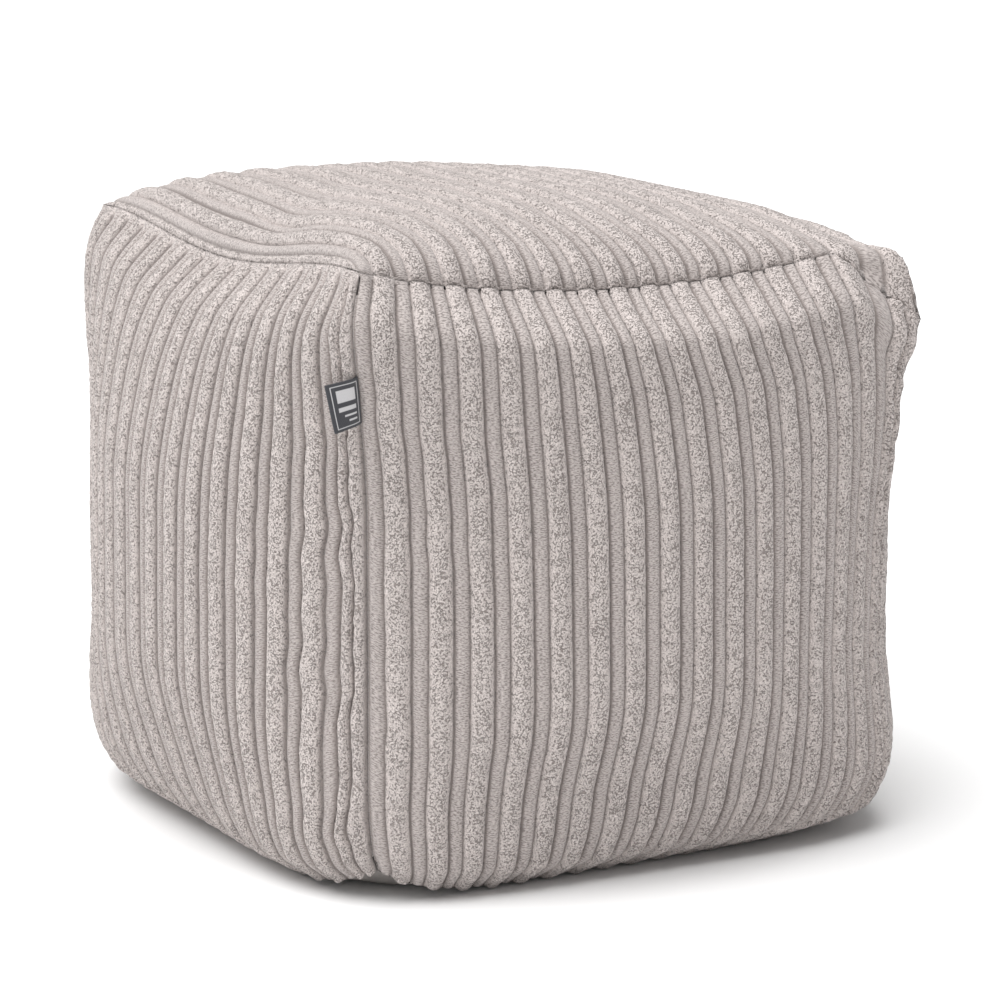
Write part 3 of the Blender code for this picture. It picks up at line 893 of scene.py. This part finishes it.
def cord_material():
    """Jumbo cord: curled tufts with small pits between them on fat ribs, rows across thin ones."""
    n = Nodes("cord", 0.95)
    place = n.place()
    fat, shade, across = (
        n.add("Attribute", output="Fac", settings={"attribute_name": name})
        for name in ("fat", "shade", "across")
    )
    across = n.math("ABSOLUTE", across)
    flat = n.add("UVMap", settings={"uv_map": "Cord"})

    warp = n.add("TexNoise", output="Color", Vector=place, Scale=1 / TUFT_BEND_SIZE, Detail=0.0)
    warp = n.vector("SUBTRACT", warp, (0.5, 0.5, 0.5))
    bent = n.vector("MULTIPLY_ADD", warp, (TUFT_BEND,) * 3, place)
    tufts = n.add("TexVoronoi", Vector=bent, Scale=1 / TUFT_SIZE).node
    pit_patches = n.noise(place, 1 / PIT_PATCH_SIZE, 1.0)
    middle = n.ramp(across, 1.0, 0.5)
    often = n.math("MULTIPLY_ADD", pit_patches, PIT_PATCHES, n.math("MULTIPLY", middle, PIT_MIDDLE))
    pits = n.ramp(n.math("ADD", tufts.outputs["Distance"], often), 0.88, 1.06)
    tone = n.add("SeparateXYZ", Vector=tufts.outputs["Color"])
    grain = n.noise(place, 1 / GRAIN_SIZE, 1.0)
    bright = n.math("MULTIPLY_ADD", tone, 0.45, n.ramp(grain, 0.34, 0.66))
    pile = n.math("SUBTRACT", n.math("MULTIPLY", grain, 0.6), pits)

    rows = n.vector("MULTIPLY", flat, (1 / KNIT_ROW[0], 1 / KNIT_ROW[1], 0))
    knit = n.noise(rows, 1.0, 1.0)

    fat_colour = n.mix(n.math("MULTIPLY", bright, 0.8), PILE, LIGHT_PILE)
    # painted shade in the pits between the tufts
    fat_colour = n.mix(n.math("MULTIPLY", pits, 0.85), fat_colour, PIT_SHADE)
    thin_colour = n.mix(n.ramp(knit, 0.34, 0.60), DARK_KNIT, KNIT)
    colour = n.mix(fat, thin_colour, fat_colour)
    nap = n.ramp(n.noise(place, 1 / NAP_SIZE, 3.0), 0.3, 0.7)
    colour = n.mix(n.math("MULTIPLY", nap, NAP), colour, LIGHT_PILE)
    # painted shade in the grooves and creases
    colour = n.mix(n.ramp(shade, 0.1, 0.9), colour, GROOVE_SHADE)
    n.feed(n.shader.inputs["Base Color"], colour)

    height = n.add("Mix", i0=fat, i2=n.math("MULTIPLY", knit, 0.6), i3=pile)
    bump = n.add("Bump", Height=height, Distance=CORD_BUMP, Strength=1.0)
    n.feed(n.shader.inputs["Normal"], bump)
    n.shader.inputs["Sheen Weight"].default_value = 0.2
    n.shader.inputs["Sheen Roughness"].default_value = 0.6
    n.shader.inputs["Specular IOR Level"].default_value = 0.15
    return n.material


BASE_DARK = (0.21, 0.19, 0.18, 1)
BASE_LIGHT = (0.40, 0.37, 0.35, 1)
BASE_THREAD = 0.0009
SLUB_SIZE = 0.01


def base_material():
    """A plain weave, with a slight slub."""
    n = Nodes("base_weave", 0.9)
    place = n.place()
    x = n.add("SeparateXYZ", output=0, Vector=place)
    y = n.add("SeparateXYZ", output=1, Vector=place)
    warp = n.math("SINE", n.math("MULTIPLY", x, 2 * pi / BASE_THREAD))
    weft = n.math("SINE", n.math("MULTIPLY", y, 2 * pi / BASE_THREAD))
    weave = n.math("MULTIPLY_ADD", n.math("MULTIPLY", warp, weft), 0.5, 0.5)
    slub = n.noise(place, 1 / SLUB_SIZE, 3.0)
    share = n.math("MULTIPLY_ADD", slub, 0.7, n.math("MULTIPLY", weave, 0.3))
    n.feed(n.shader.inputs["Base Color"], n.mix(share, BASE_DARK, BASE_LIGHT))
    n.feed(n.shader.inputs["Normal"], n.add("Bump", Height=weave, Distance=0.0003, Strength=0.7))
    n.shader.inputs["Sheen Weight"].default_value = 0.1
    return n.material


TAG_DARK = (0.030, 0.031, 0.037, 1)
TAG_DARK_THREAD = (0.060, 0.061, 0.070, 1)
TAG_LIGHT = (0.66, 0.65, 0.66, 1)
# left, right, top and foot of each light bar, as shares of the tag
TAG_BARS = (
    (0.22, 0.78, 0.16, 0.42),
    (0.22, 0.78, 0.52, 0.61),
    (0.22, 0.62, 0.69, 0.73),
    (0.22, 0.50, 0.80, 0.84),
)
TAG_BORDER = (0.11, 0.93, 0.055, 0.945)
TAG_LINE = (0.028, 0.018)  # how wide the border's line is, upright and level
TAG_SOFTNESS = 0.008
TAG_THREAD = (0.0006, 0.00045)  # across the tag and down it


def tag_material():
    """Dark woven tape with a thin light border and plain light bars."""
    n = Nodes("tag_weave", 0.8)
    flat = n.add("UVMap", settings={"uv_map": "Tag"})
    across = n.add("SeparateXYZ", output=0, Vector=flat)
    down = n.add("SeparateXYZ", output=1, Vector=flat)

    def inside(left, right, top, foot):
        edges = ((across, left, right), (down, top, foot))
        share = 1.0
        for value, low, high in edges:
            for edge, soft in ((low, TAG_SOFTNESS), (high, -TAG_SOFTNESS)):
                share = n.math("MULTIPLY", share, n.ramp(value, edge - soft, edge + soft))
        return share

    left, right, top, foot = TAG_BORDER
    side, end = TAG_LINE
    field = inside(left + side, right - side, top + end, foot - end)
    light = n.math("SUBTRACT", inside(*TAG_BORDER), field)
    for bar in TAG_BARS:
        light = n.math("MAXIMUM", light, inside(*bar))
    threads = n.math("SINE", n.math("MULTIPLY", down, 2 * pi * LABEL_HEIGHT / TAG_THREAD[1]))
    cross = n.math("SINE", n.math("MULTIPLY", across, 2 * pi * LABEL_WIDTH / TAG_THREAD[0]))
    weave = n.math("MULTIPLY_ADD", n.math("MULTIPLY", threads, cross), 0.5, 0.5)
    light = n.math("MULTIPLY", light, n.math("MULTIPLY_ADD", weave, 0.25, 0.75))
    dark = n.mix(weave, TAG_DARK, TAG_DARK_THREAD)
    n.feed(n.shader.inputs["Base Color"], n.mix(light, dark, TAG_LIGHT))
    n.feed(n.shader.inputs["Normal"], n.add("Bump", Height=weave, Distance=0.0002, Strength=0.6))
    n.shader.inputs["Sheen Weight"].default_value = 0.15
    return n.material


# --- The pieces ---


def dress(piece, material, node):
    """Puts a piece in the place of a solid."""
    piece.data.materials.append(material)
    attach(piece, "root")
    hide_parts(node)


cord = cord_material()
for cord_panel in panels():
    cover = closed_panel(cord_panel)
    dress(cover, cord, "cord_cover")
base = base_cloth()
dress(base, base_material(), "base_panel")
tag = side_label()
dress(tag, tag_material(), "side_label")

# --- Camera, light and floor ---

CAMERA_AT = (-1.1982, -2.2088, 0.7692)
CAMERA_TURN = radians(28.78)  # from +Y towards +X
CAMERA_DIP = radians(12.09)
CAMERA_LENS = 124.1
CAMERA_SENSOR = 36.0
WORLD_LIGHT = 0.40
FLOOR_SIZE = 60
FLOOR_COLOUR = (0.92, 0.92, 0.92, 1)

camera = bpy.data.objects.new("camera", bpy.data.cameras.new("camera"))
camera.data.lens = CAMERA_LENS
camera.data.sensor_width = CAMERA_SENSOR
camera.location = CAMERA_AT
camera.rotation_euler = (pi / 2 - CAMERA_DIP, 0, -CAMERA_TURN)
bpy.context.scene.collection.objects.link(camera)
bpy.context.scene.camera = camera


def soft_light(name, strength, spread, turn, lift):
    """A wide soft light on the footstool. The angles are degrees, and turn is from -Y to -X."""
    light = bpy.data.lights.new(name, "SUN")
    light.energy = strength
    light.angle = radians(spread)
    holder = bpy.data.objects.new(name, light)
    turn, lift = radians(turn), radians(lift)
    away = Vector((-sin(turn) * cos(lift), -cos(turn) * cos(lift), sin(lift)))
    holder.rotation_euler = away.to_track_quat("Z", "Y").to_euler()
    bpy.context.scene.collection.objects.link(holder)


soft_light("key", 3.85, 60, 85, 73)
soft_light("side", 0.38, 60, 100, 20)

world = bpy.data.worlds.new("studio")
world.use_nodes = True
world.node_tree.nodes["Background"].inputs["Color"].default_value = (1, 1, 1, 1)
world.node_tree.nodes["Background"].inputs["Strength"].default_value = WORLD_LIGHT
bpy.context.scene.world = world
bpy.context.scene.view_settings.view_transform = "Standard"

bpy.ops.mesh.primitive_plane_add(size=FLOOR_SIZE)
floor = bpy.context.object
floor.name = "floor"
floor_material = Nodes("floor", 0.9)
floor_material.shader.inputs["Base Color"].default_value = FLOOR_COLOUR
floor.data.materials.append(floor_material.material)
